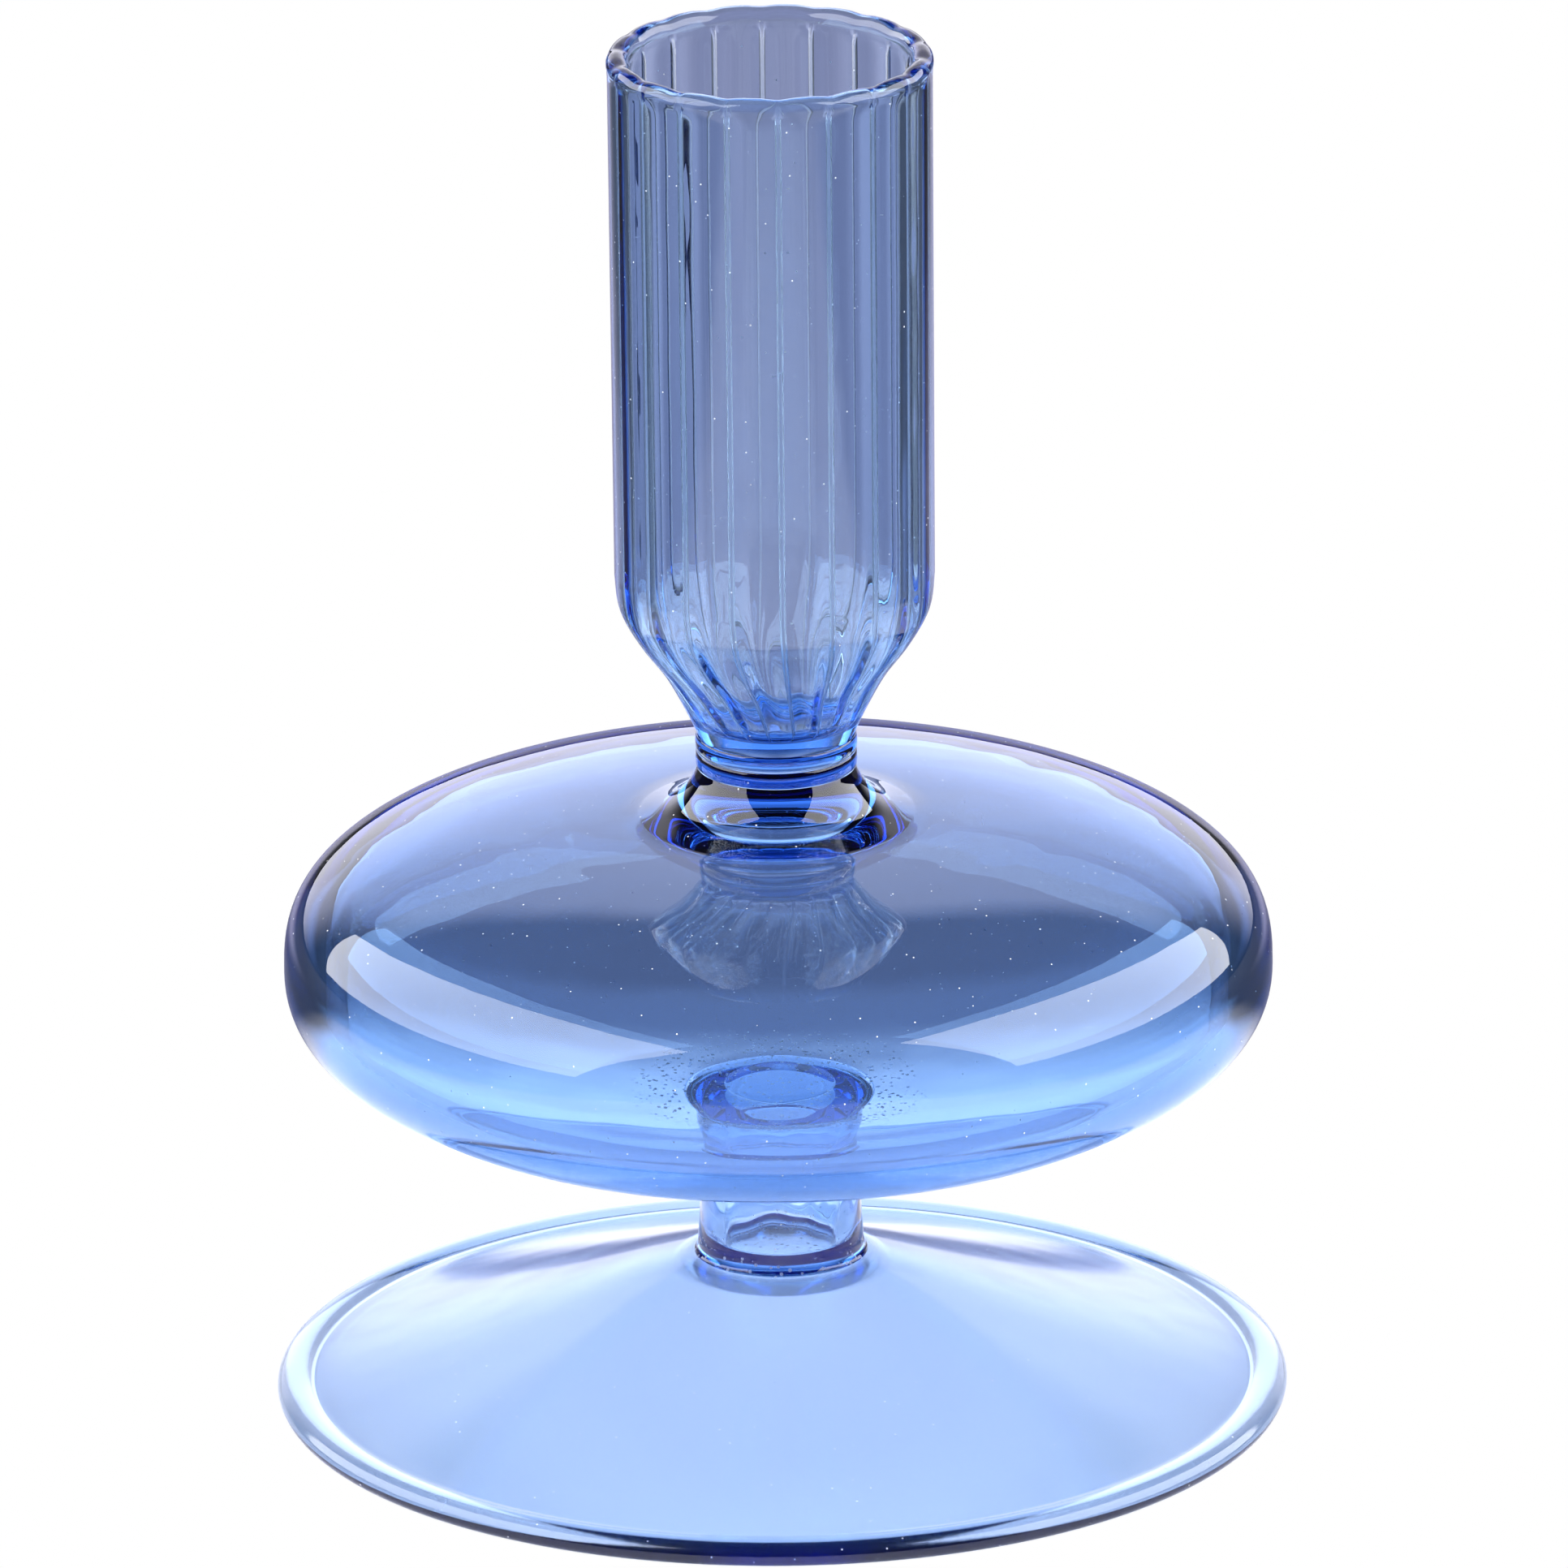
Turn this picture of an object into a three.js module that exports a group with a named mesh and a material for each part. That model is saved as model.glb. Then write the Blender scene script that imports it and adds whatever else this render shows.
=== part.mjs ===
// A flame-worked glass bud vase: a ribbed cup on a flattened hollow bubble, on a short
// hollow stem and a domed foot. Four pieces of blown and spun glass tube, with a band of
// melted glass where each one is welded to the next. The welds under and over the stem are
// solid, so the stem and the bubble are closed hollows.
// Millimetres, +Z up. The origin is the centre of the circle that the foot rests on.

import * as THREE from 'three';

// ---- Driving dimensions ----------------------------------------------------------------

const HEIGHT = 125.2;
const ROUND_STEPS = 48; // facets round the plain pieces

const BORE_RADIUS = 5.0; // of the stem's tube

const FOOT_RADIUS = 45.0;
const FOOT_WALL = 1.9;
const FOOT_BEAD_WIDTH = 3.6; // the rolled edge, across
const FOOT_BEAD_HEIGHT = 2.2;
const FOOT_CORNER = 1.0; // radius under the edge, where it leaves the table
const FOOT_DIP = 0.25; // the edge stands this proud of the glass beside it
const FOOT_SWEEP = 1.12; // above 1 the foot steepens towards the stem
const FOOT_TOP = 13.4;
const FOOT_TOP_RADIUS = 7.8;
const FOOT_RADII = [FOOT_TOP_RADIUS, 12, 17, 23, 29, 35]; // where its slope is drawn
const FOOT_UNDER_RADIUS = 5.0; // the underside levels off inside this
const FOOT_UNDER_RISE = 0.5; // and stands this much higher on the axis
const FOOT_REST_INSET = 0.4; // the flat that it rests on starts this far into the edge

const STEM_BOTTOM = 14.8;
const WELD_DISH = 0.7; // depth of the dish that closes the stem's tube at its foot
const STEM_TOP = 24.4;
const STEM_BOTTOM_RADIUS = 7.35;
const STEM_WAIST_RADIUS = 7.15;
const STEM_TOP_RADIUS = 7.55;

const BUBBLE_RADIUS = 43.85;
const BUBBLE_EDGE_WALL = 3.2; // at its widest circle, where the flattened glass gathers
const BUBBLE_FACE_WALL = 2.2; // at its top and its bottom
const BUBBLE_MIDDLE = 40.4; // height of its widest circle
const BUBBLE_RISE = 14.2; // from the widest circle to the top
const BUBBLE_DROP = 14.6; // and to the bottom
const BUBBLE_TOP_FULLNESS = 2.8; // 2 is an ellipse, more is squarer
const BUBBLE_BOTTOM_FULLNESS = 2.3;
const BUBBLE_BOTTOM_RADIUS = 8.6;
const BUTTON_RISE = 0.4; // the weld's button is domed this much over the bubble's floor
const SHOULDER_RADIUS = 12.5; // where the bubble starts to curve up into the neck
const FLARE = [[10.3, 55.1], [8.9, 56.0], [8.0, 57.0], [7.4, 58.0]]; // up to the neck
const NECK_PULL_RADIUS = 6.5; // the hollow draws up a little inside this
const NECK_PULL = 2.4;

const NECK_BOTTOM = 59.0;
const NECK_TOP = 62.0;
const NECK_RADIUS = 7.0;
const NECK_BEAD = 0.18; // how far the two weld rings stand out

const CUP_STRAIGHT_BOTTOM = 77.0;
const CUP_STRAIGHT_TOP = 123.0;
const CUP_FLARE = 0.15; // the tube opens this much from the bottom of the straight to the top
const CUP_OUTER_RADIUS = 14.15;
const CUP_WALL = 1.8;
const LIP_RADIUS = 14.4;
const LIP_THICKNESS = 1.9;
const CUP_FLOOR = 63.0;
const FUNNEL_OUTSIDE = [[6.9, NECK_TOP], [8.3, 65], [9.95, 68], [12.15, 71], [13.75, 74]];
const FUNNEL_INSIDE = [[11.9, 74], [10.2, 71], [8.1, 68], [6.6, 65.4], [5.7, 64.1]];
const FLOOR_DISH = [3.4, 0.35]; // radius and height of a point on the dished floor
const RIB_COUNT = 18;
const RIB_HEIGHT = 0.45;
const RIB_HALF_WIDTH = THREE.MathUtils.degToRad(2);
const RIB_START = THREE.MathUtils.degToRad(3);
const RIB_TWIST = THREE.MathUtils.degToRad(13); // most of it near the floor of the cup
const RIB_FADE = 3.0; // the ribs run out over this height at the lip and at the floor
const RIB_FLOOR_GAP = 0.7; // and stop this far over the floor

// ---- Outlines: points (radius, height) --------------------------------------------------

const at = (radius, height) => new THREE.Vector2(radius, height);

// Points on an ellipse from one angle to another, in degrees, 0 outwards and 90 up.
function arc(centre, acrossRadius, upRadius, from, to, steps) {
  return Array.from({ length: steps + 1 }, (_, i) => {
    const angle = THREE.MathUtils.degToRad(from + ((to - from) * i) / steps);
    return at(centre.x + acrossRadius * Math.cos(angle), centre.y + upRadius * Math.sin(angle));
  });
}

// A quarter of a fuller-than-elliptical bubble wall, from one radius to another.
// A positive rise goes up from the widest circle and a negative one goes down.
function bubbleQuarter(radius, rise, fullness, fromRadius, toRadius, steps) {
  const turn = (r) => Math.acos(Math.pow(r / radius, fullness / 2));
  const first = turn(fromRadius);
  const last = turn(toRadius);
  return Array.from({ length: steps + 1 }, (_, i) => {
    const angle = first + ((last - first) * i) / steps;
    const r = radius * Math.pow(Math.max(Math.cos(angle), 0), 2 / fullness);
    const z = rise * Math.pow(Math.sin(angle), 2 / fullness);
    return at(r, BUBBLE_MIDDLE + z);
  });
}

const stemEndPoint = bubbleQuarter(
  BUBBLE_RADIUS, -BUBBLE_DROP, BUBBLE_BOTTOM_FULLNESS, BUBBLE_BOTTOM_RADIUS, BUBBLE_RADIUS, 1,
)[0];
const bubbleBottom = stemEndPoint.y;
const bubbleHollowRadius = BUBBLE_RADIUS - BUBBLE_EDGE_WALL;
const bubbleFloor = bubbleQuarter(
  bubbleHollowRadius,
  BUBBLE_FACE_WALL - BUBBLE_DROP,
  BUBBLE_BOTTOM_FULLNESS,
  bubbleHollowRadius,
  BORE_RADIUS,
  9,
);

// A smooth curve through the given points.
const through = (points, steps) => new THREE.SplineCurve(points).getPoints(steps);

// Drops a point that repeats the one before it.
function joined(...stretches) {
  const points = stretches.flat();
  return points.filter((p, i) => i === 0 || p.distanceTo(points[i - 1]) > 1e-6);
}

// ---- Solids -----------------------------------------------------------------------------

// Turns an outline about the Z axis. The outline runs up the outside and down the inside.
// An outline that doesn't start on the axis is closed back to its first point.
function turned(outline, steps = ROUND_STEPS) {
  const closed = outline[0].x > 0 ? [...outline, outline[0].clone()] : outline;
  return new THREE.LatheGeometry(closed, steps).rotateX(Math.PI / 2);
}

function part(name, geometry, { color, roughness }) {
  const material = new THREE.MeshStandardMaterial({
    color,
    roughness,
    metalness: 0,
    transparent: true,
    opacity: 0.6,
    side: THREE.DoubleSide,
  });
  const mesh = new THREE.Mesh(geometry, material);
  mesh.name = name;
  return mesh;
}

// ---- Foot: a spun disc with a rolled edge, hollow underneath ----------------------------

// Height of the foot's upper face, which rises from beside the rolled edge to the stem.
const footBeadInner = FOOT_RADIUS - FOOT_BEAD_WIDTH;
const footFaceBottom = FOOT_BEAD_HEIGHT - FOOT_DIP;

function footFace(radius) {
  const share = (footBeadInner - radius) / (footBeadInner - FOOT_TOP_RADIUS);
  return footFaceBottom + (FOOT_TOP - footFaceBottom) * Math.pow(share, FOOT_SWEEP);
}

function footSlope(drop) {
  return [...FOOT_RADII, footBeadInner].map((radius) => at(radius, footFace(radius) - drop));
}

function makeFoot() {
  const corner = at(FOOT_RADIUS - FOOT_CORNER, FOOT_CORNER);
  const beadCentre = at(FOOT_RADIUS - FOOT_BEAD_WIDTH / 2, FOOT_CORNER);
  const beadRise = FOOT_BEAD_HEIGHT - FOOT_CORNER;
  const bead = [
    ...arc(corner, FOOT_CORNER, FOOT_CORNER, -90, 0, 4),
    ...arc(beadCentre, FOOT_BEAD_WIDTH / 2, beadRise, 0, 135, 7),
  ];
  const under = footSlope(FOOT_WALL);
  const outline = joined(
    [at(0, FOOT_TOP - FOOT_WALL + FOOT_UNDER_RISE)],
    [at(FOOT_UNDER_RADIUS, FOOT_TOP - FOOT_WALL + FOOT_UNDER_RISE / 2)],
    under.slice(0, -1),
    [at(footBeadInner + FOOT_REST_INSET, 0)],
    bead,
    footSlope(0).reverse(),
    [at(0, FOOT_TOP)],
  );
  return part('foot', turned(outline), { color: 0xa5c3f5, roughness: 0.05 });
}

// ---- Stem and its two welds -------------------------------------------------------------

function makeFootWeld() {
  const fillet = arc(
    at(FOOT_TOP_RADIUS, STEM_BOTTOM),
    FOOT_TOP_RADIUS - STEM_BOTTOM_RADIUS,
    STEM_BOTTOM - FOOT_TOP,
    270,
    180,
    4,
  );
  const outline = joined(
    [at(0, FOOT_TOP)],
    fillet,
    arc(at(0, STEM_BOTTOM), BORE_RADIUS, WELD_DISH, 0, -90, 4),
  );
  outline.at(-1).x = 0;
  return part('foot_weld', turned(outline), { color: 0x7f9fdc, roughness: 0.05 });
}

function makeStem() {
  const side = through(
    [
      at(STEM_BOTTOM_RADIUS, STEM_BOTTOM),
      at(STEM_WAIST_RADIUS, (STEM_BOTTOM + STEM_TOP) / 2),
      at(STEM_TOP_RADIUS, STEM_TOP),
    ],
    6,
  );
  const outline = joined(
    [at(BORE_RADIUS, STEM_BOTTOM)],
    side,
    [at(BORE_RADIUS, STEM_TOP)],
  );
  return part('stem', turned(outline), { color: 0x93aee2, roughness: 0.05 });
}

function makeStemWeld() {
  const fillet = arc(
    at(BUBBLE_BOTTOM_RADIUS, STEM_TOP),
    BUBBLE_BOTTOM_RADIUS - STEM_TOP_RADIUS,
    bubbleBottom - STEM_TOP,
    180,
    90,
    4,
  );
  const floorEdge = bubbleFloor.at(-1);
  const outline = joined(
    [at(0, STEM_TOP)],
    fillet,
    [at(BORE_RADIUS, bubbleBottom)],
    arc(at(0, floorEdge.y), BORE_RADIUS, BUTTON_RISE, 0, 90, 5),
  );
  outline.at(-1).x = 0;
  return part('stem_weld', turned(outline), { color: 0x7f9fdc, roughness: 0.05 });
}

// ---- Bubble: a flattened blown shell, closed by the weld's button ------------------------

function makeBubble() {
  const shoulder = bubbleQuarter(
    BUBBLE_RADIUS, BUBBLE_RISE, BUBBLE_TOP_FULLNESS, BUBBLE_RADIUS, SHOULDER_RADIUS, 9,
  );
  const roof = bubbleQuarter(
    bubbleHollowRadius,
    BUBBLE_RISE - BUBBLE_FACE_WALL,
    BUBBLE_TOP_FULLNESS,
    bubbleHollowRadius,
    NECK_PULL_RADIUS,
    9,
  ).reverse();
  const roofHeight = roof[0].y;
  const outline = joined(
    [at(BORE_RADIUS, bubbleBottom)],
    bubbleQuarter(
      BUBBLE_RADIUS, -BUBBLE_DROP, BUBBLE_BOTTOM_FULLNESS, BUBBLE_BOTTOM_RADIUS, BUBBLE_RADIUS, 9,
    ),
    shoulder,
    FLARE.map(([r, z]) => at(r, z)),
    [at(NECK_RADIUS, NECK_BOTTOM)],
  );
  const inside = joined(
    arc(at(0, roofHeight), NECK_PULL_RADIUS, NECK_PULL, 90, 0, 4),
    roof,
    bubbleFloor,
  );
  return part('bubble', bubbleSolid(outline, inside), { color: 0x6a80bd, roughness: 0.03 });
}

// The bubble is closed over by the neck, so its outline runs out to the axis at the neck
// and comes back from the axis along the inside.
function bubbleSolid(outline, inside) {
  return turned([...outline, at(0, NECK_BOTTOM), ...inside]);
}

// ---- Neck: the solid band where the cup is welded on ------------------------------------

function makeNeckWeld() {
  const beadHeight = (NECK_TOP - NECK_BOTTOM) / 2;
  const bead = (middle) => arc(at(NECK_RADIUS, middle), NECK_BEAD, beadHeight / 2, -90, 90, 4);
  const outline = joined(
    [at(0, NECK_BOTTOM)],
    bead(NECK_BOTTOM + beadHeight / 2),
    bead(NECK_TOP - beadHeight / 2),
    [at(0, NECK_TOP)],
  );
  return part('neck_weld', turned(outline), { color: 0x4c6db8, roughness: 0.03 });
}

// ---- Cup: a tube smooth outside and ribbed inside, closed at the bottom -----------------

const lipCentre = at(LIP_RADIUS - LIP_THICKNESS / 2, HEIGHT - LIP_THICKNESS / 2);

function cupOutside() {
  const funnel = through(
    [...FUNNEL_OUTSIDE.map(([r, z]) => at(r, z)), at(CUP_OUTER_RADIUS, CUP_STRAIGHT_BOTTOM)],
    8,
  );
  return [...funnel, at(CUP_OUTER_RADIUS + CUP_FLARE, CUP_STRAIGHT_TOP)];
}

function cupInside() {
  const innerRadius = CUP_OUTER_RADIUS - CUP_WALL;
  const funnel = through(
    [at(innerRadius, CUP_STRAIGHT_BOTTOM), ...FUNNEL_INSIDE.map(([r, z]) => at(r, z))],
    8,
  );
  return [
    at(innerRadius + CUP_FLARE, CUP_STRAIGHT_TOP),
    at(innerRadius + CUP_FLARE, CUP_STRAIGHT_TOP - RIB_FADE),
    ...funnel,
    at(FLOOR_DISH[0], CUP_FLOOR + FLOOR_DISH[1]),
    at(0, CUP_FLOOR),
  ];
}

// How far a rib stands in from the wall at a given height.
function ribHeight(height) {
  const fromLip = (CUP_STRAIGHT_TOP - height) / RIB_FADE;
  const fromFloor = (height - CUP_FLOOR - RIB_FLOOR_GAP) / RIB_FADE;
  return RIB_HEIGHT * THREE.MathUtils.clamp(Math.min(fromLip, fromFloor), 0, 1);
}

// Turns the cup's outline with four steps to a rib: its crest, its two feet and the middle
// of the gap. Ribs run straight down the tube and twist together over the funnel.
function ribbedCup(outside, inside) {
  const outline = [at(0, NECK_TOP), ...outside, ...inside];
  const steps = RIB_COUNT * 4;
  const firstInside = 1 + outside.length;
  const pitch = (2 * Math.PI) / RIB_COUNT;
  const within = [0, RIB_HALF_WIDTH, pitch / 2, pitch - RIB_HALF_WIDTH];
  const geometry = new THREE.LatheGeometry(outline, steps);
  const position = geometry.attributes.position;
  for (let step = 0; step <= steps; step += 1) {
    const corner = step % 4;
    const straight = RIB_START + Math.floor(step / 4) * pitch + within[corner];
    outline.forEach((point, i) => {
      const down = (CUP_STRAIGHT_BOTTOM - point.y) / (CUP_STRAIGHT_BOTTOM - CUP_FLOOR);
      const angle = straight + RIB_TWIST * THREE.MathUtils.clamp(down, 0, 1) ** 2;
      const onCrest = i >= firstInside && corner === 0 && point.x > 0;
      const radius = point.x - (onCrest ? ribHeight(point.y) : 0);
      const x = radius * Math.sin(angle);
      const y = -radius * Math.cos(angle);
      position.setXYZ(step * outline.length + i, x, y, point.y);
    });
  }
  return geometry;
}

function makeCup() {
  const lip = arc(lipCentre, LIP_THICKNESS / 2, LIP_THICKNESS / 2, -20, 200, 6);
  const geometry = ribbedCup([...cupOutside(), ...lip], cupInside());
  return part('ribbed_cup', geometry, { color: 0x8296cd, roughness: 0.03 });
}

// ---- The vase ---------------------------------------------------------------------------

const vase = new THREE.Group();
vase.name = 'bud_vase';
vase.add(
  makeFoot(),
  makeFootWeld(),
  makeStem(),
  makeStemWeld(),
  makeBubble(),
  makeNeckWeld(),
  makeCup(),
);

export default vase;
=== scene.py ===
"""The glass bud vase in fine, clear glass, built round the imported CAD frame.

Metres throughout. Each piece is turned from its own outline, as (radius, height) pairs.
"""

import math

import bpy
from mathutils import Euler, Matrix, Vector


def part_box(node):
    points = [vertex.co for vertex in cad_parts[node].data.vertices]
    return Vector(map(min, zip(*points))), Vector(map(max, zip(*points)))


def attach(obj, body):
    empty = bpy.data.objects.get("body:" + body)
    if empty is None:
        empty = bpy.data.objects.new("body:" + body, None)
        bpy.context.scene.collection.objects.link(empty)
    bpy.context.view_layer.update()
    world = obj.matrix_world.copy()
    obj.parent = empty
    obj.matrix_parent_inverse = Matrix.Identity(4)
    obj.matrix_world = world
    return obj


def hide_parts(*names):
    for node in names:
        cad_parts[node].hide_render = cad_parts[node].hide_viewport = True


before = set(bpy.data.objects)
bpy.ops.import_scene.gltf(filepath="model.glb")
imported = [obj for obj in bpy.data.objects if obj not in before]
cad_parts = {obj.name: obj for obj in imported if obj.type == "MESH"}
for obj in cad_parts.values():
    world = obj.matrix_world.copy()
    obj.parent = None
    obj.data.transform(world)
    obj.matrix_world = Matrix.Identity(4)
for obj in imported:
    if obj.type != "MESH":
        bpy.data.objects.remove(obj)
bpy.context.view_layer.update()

MM = 0.001


# ---- Camera ------------------------------------------------------------------------------

CAMERA_DISTANCE = 2.2331  # level distance from the vase's axis
CAMERA_HEIGHT = 0.8459
CAMERA_PITCH = math.radians(19.455)  # looking down
CAMERA_ROLL = math.radians(0.55)  # the vase leans a little to the left in the picture
CAMERA_ASIDE = 0.00065
LENS = 614.4
SENSOR = 36.0
CLIP = (0.1, 50)


def add_camera():
    data = bpy.data.cameras.new("camera")
    data.lens = LENS
    data.sensor_width = SENSOR
    data.clip_start, data.clip_end = CLIP
    camera = bpy.data.objects.new("camera", data)
    bpy.context.scene.collection.objects.link(camera)
    camera.location = (CAMERA_ASIDE, -CAMERA_DISTANCE, CAMERA_HEIGHT)
    look = Euler((math.pi / 2 - CAMERA_PITCH, 0, 0)).to_quaternion()
    turn = Euler((0, 0, -CAMERA_ROLL)).to_quaternion()
    camera.rotation_euler = (look @ turn).to_euler()
    bpy.context.scene.camera = camera


# ---- Sizes, from the frame and the CAD's own dimensions ----------------------------------


def low(node):
    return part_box(node)[0]


def high(node):
    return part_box(node)[1]


BORE = 5.0 * MM  # radius of the stem's tube

FOOT_R = high("foot")[0]
FOOT_TOP = high("foot")[2]
FOOT_TOP_R = high("foot_weld")[0]
FOOT_WALL = 1.9 * MM
BEAD_WIDTH = 3.6 * MM
BEAD_HEIGHT = 2.2 * MM
FOOT_CORNER = 1.0 * MM
FOOT_DIP = 0.25 * MM
FOOT_SWEEP = 1.12  # above 1 the foot steepens towards the stem
FOOT_REST_INSET = 0.4 * MM  # the flat that it rests on starts this far into the edge
FOOT_CENTRE_WALL = 1.4 * MM  # its thickness on the axis
FOOT_NEAR_CENTRE = (5.0 * MM, 1.65 * MM)  # a radius, and its thickness there

STEM_LOW = low("stem")[2]
STEM_HIGH = high("stem")[2]
STEM_LOW_R = 7.35 * MM
STEM_WAIST_R = 7.15 * MM
STEM_HIGH_R = high("stem")[0]
BORE_WAVE = 0.03  # unevenness of its tube's inside, as a share of the radius
BORE_WAVES = ((0.6, 2, 0.8, 1.1), (0.4, 5, 3.5, 0), (0.25, 9, -6, 0))
WELD_DISH = 0.7 * MM  # of the weld that closes the stem's tube at its foot

BUBBLE_R = 43.85 * MM
BUBBLE_EDGE_WALL = 3.2 * MM  # at its widest circle
BUBBLE_FACE_WALL = 2.2 * MM  # at its top and its bottom
BUBBLE_MIDDLE = 40.4 * MM
BUBBLE_RISE = 14.2 * MM
BUBBLE_DROP = 14.6 * MM
TOP_FULLNESS = 2.8
BOTTOM_FULLNESS = 2.3
BUBBLE_LOW = low("bubble")[2]
BUBBLE_LOW_R = high("stem_weld")[0]
SHOULDER_R = 12.5 * MM
FLARE = [(10.3, 55.1), (8.9, 56.0), (8.0, 57.0), (7.4, 58.0)]  # up to the neck, in mm
PULL_R = 6.5 * MM  # inside this the hollow draws up towards the neck
PULL = 2.4 * MM
BUTTON_RISE = 0.4 * MM  # of the button that closes the bubble, over the bubble's floor

NECK_LOW = low("neck_weld")[2]
NECK_HIGH = high("neck_weld")[2]
NECK_R = 7.0 * MM
NECK_BEAD = high("neck_weld")[0] - NECK_R

HEIGHT = high("ribbed_cup")[2]
CUP_BASE_R = 6.9 * MM
CUP_R = 14.15 * MM
CUP_FLARE = 0.15 * MM
CUP_WALL = 1.8 * MM
CUP_FLOOR = 63.0 * MM
CUP_CENTRE_R = 0.4 * MM  # of the small faces that close it on the axis
STRAIGHT_LOW = 77.0 * MM
STRAIGHT_HIGH = 123.0 * MM
FUNNEL_OUTSIDE = [(8.3, 65), (9.95, 68), (12.15, 71), (13.75, 74)]  # in mm
FUNNEL_INSIDE = [(11.9, 74), (10.2, 71), (8.1, 68), (6.6, 65.4), (5.7, 64.1), (3.4, 63.35)]
TOP_RINGS = (0.5, 0.2, -0.1, -0.5, -1.0, -2.0)  # inside the lip, in mm from STRAIGHT_HIGH
LIP_R = 14.4 * MM
LIP = 1.9 * MM
LIP_TURN = (-20, 200)  # degrees of its roll
RIBS = 18
RIB_HEIGHT = 0.3 * MM
RIB_START = math.radians(3)
RIB_TWIST = math.radians(13)

WELD_LAP = 0.01 * MM  # melted faces reach this far into each other, so that none is missed


# ---- Outlines ----------------------------------------------------------------------------

SIDES = 192  # round the plain pieces
LONG_STEPS = 40  # along a long curve
DOME_STEPS = 16
FILLET_STEPS = 14
BEAD_STEPS = 12
EDGE_STEPS = 20
LIP_STEPS = 22
SAME = 1e-6  # points nearer than this are one
ON_AXIS = 1e-9  # a radius under this is on the axis
SMOOTH_ANGLE = math.radians(50)
WELD_NEAR = 0.02 * MM
FLAT = 0.99  # least upright part of a flat face's normal
UPRIGHT = 0.01  # most of an upright face's


def arc(centre, across, up, start, end, steps):
    """Points on an ellipse, angles in degrees, 0 outwards and 90 up."""
    turns = [math.radians(start + (end - start) * i / steps) for i in range(steps + 1)]
    return [(centre[0] + across * math.cos(t), centre[1] + up * math.sin(t)) for t in turns]


def bubble_quarter(radius, rise, fullness, start_r, end_r, steps):
    """Points on a fuller-than-elliptical wall, above the middle for a positive rise."""
    first = math.acos((start_r / radius) ** (fullness / 2))
    last = math.acos((end_r / radius) ** (fullness / 2))
    points = []
    for i in range(steps + 1):
        t = first + (last - first) * i / steps
        r = radius * max(math.cos(t), 0) ** (2 / fullness)
        points.append((r, BUBBLE_MIDDLE + rise * max(math.sin(t), 0) ** (2 / fullness)))
    return points


def through(points, steps):
    """A smooth curve through the given points, with as many steps between each two."""
    ends = [points[0], *points, points[-1]]
    made = []
    for a, b, c, d in zip(ends, ends[1:], ends[2:], ends[3:]):
        for i in range(steps):
            t = i / steps
            made.append(tuple(
                b[k] + t * (c[k] - a[k]) / 2
                + t * t * (a[k] - 2.5 * b[k] + 2 * c[k] - d[k] / 2)
                + t * t * t * (1.5 * (b[k] - c[k]) + (d[k] - a[k]) / 2)
                for k in (0, 1)
            ))
    return [*made, points[-1]]


def joined(*stretches):
    """One list of points, without a point that repeats the one before it."""
    points = [p for stretch in stretches for p in stretch]
    return [p for i, p in enumerate(points) if i == 0 or math.dist(p, points[i - 1]) > SAME / 10]


# ---- Turning -----------------------------------------------------------------------------


def start_piece(name, radius, height):
    """A new piece in edit mode: one point on the XZ plane, selected."""
    if bpy.context.object and bpy.context.object.mode == "EDIT":
        bpy.ops.object.mode_set(mode="OBJECT")
    bpy.ops.object.select_all(action="DESELECT")
    bpy.ops.mesh.primitive_plane_add(size=MM, location=(radius, 0, height))
    piece = bpy.context.object
    piece.name = name
    piece.data.name = name
    bpy.ops.object.transform_apply(location=True, rotation=True, scale=True)
    bpy.ops.object.mode_set(mode="EDIT")
    bpy.ops.mesh.merge(type="CENTER")
    return piece


def turned(name, outline):
    """Draws the outline point by point and spins it round the vase's axis."""
    on_axis = outline[0][0] < ON_AXIS
    points = outline if on_axis else [*outline, outline[0]]
    piece = start_piece(name, *points[0])
    bpy.ops.mesh.select_mode(type="VERT")
    bpy.ops.mesh.select_all(action="SELECT")
    for (r0, z0), (r1, z1) in zip(points, points[1:]):
        bpy.ops.mesh.extrude_region_move(TRANSFORM_OT_translate={"value": (r1 - r0, 0, z1 - z0)})
    bpy.ops.mesh.select_all(action="SELECT")
    bpy.ops.mesh.spin(steps=SIDES, angle=2 * math.pi, center=(0, 0, 0), axis=(0, 0, 1))
    finish_mesh()
    return piece


def finish_mesh():
    bpy.ops.mesh.select_all(action="SELECT")
    bpy.ops.mesh.remove_doubles(threshold=SAME)
    bpy.ops.mesh.select_all(action="SELECT")
    bpy.ops.mesh.normals_make_consistent(inside=False)
    bpy.ops.object.mode_set(mode="OBJECT")
    bpy.ops.object.shade_smooth_by_angle(angle=SMOOTH_ANGLE)


def mark_welds(piece, *heights, round_radius=None):
    """Marks the faces where one glass runs on into the next: the flat ends at these heights,
    and the upright ones at this radius."""
    mesh = piece.data
    weld = mesh.attributes.new("weld", "FLOAT", "FACE")
    for face in mesh.polygons:
        flat = abs(face.normal.z) > FLAT
        there = any(abs(face.center.z - z) < WELD_NEAR for z in heights)
        upright = abs(face.normal.z) < UPRIGHT
        away = math.hypot(face.center.x, face.center.y)
        around = round_radius is not None and abs(away - round_radius) < WELD_NEAR
        weld.data[face.index].value = float((flat and there) or (upright and around))


# ---- Pieces ------------------------------------------------------------------------------


def foot_face(radius):
    """Height of the foot's upper face beside the stem down to beside its rolled edge."""
    inner = FOOT_R - BEAD_WIDTH
    bottom = BEAD_HEIGHT - FOOT_DIP
    share = (inner - radius) / (inner - FOOT_TOP_R)
    return bottom + (FOOT_TOP - bottom) * max(share, 0) ** FOOT_SWEEP


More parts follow.
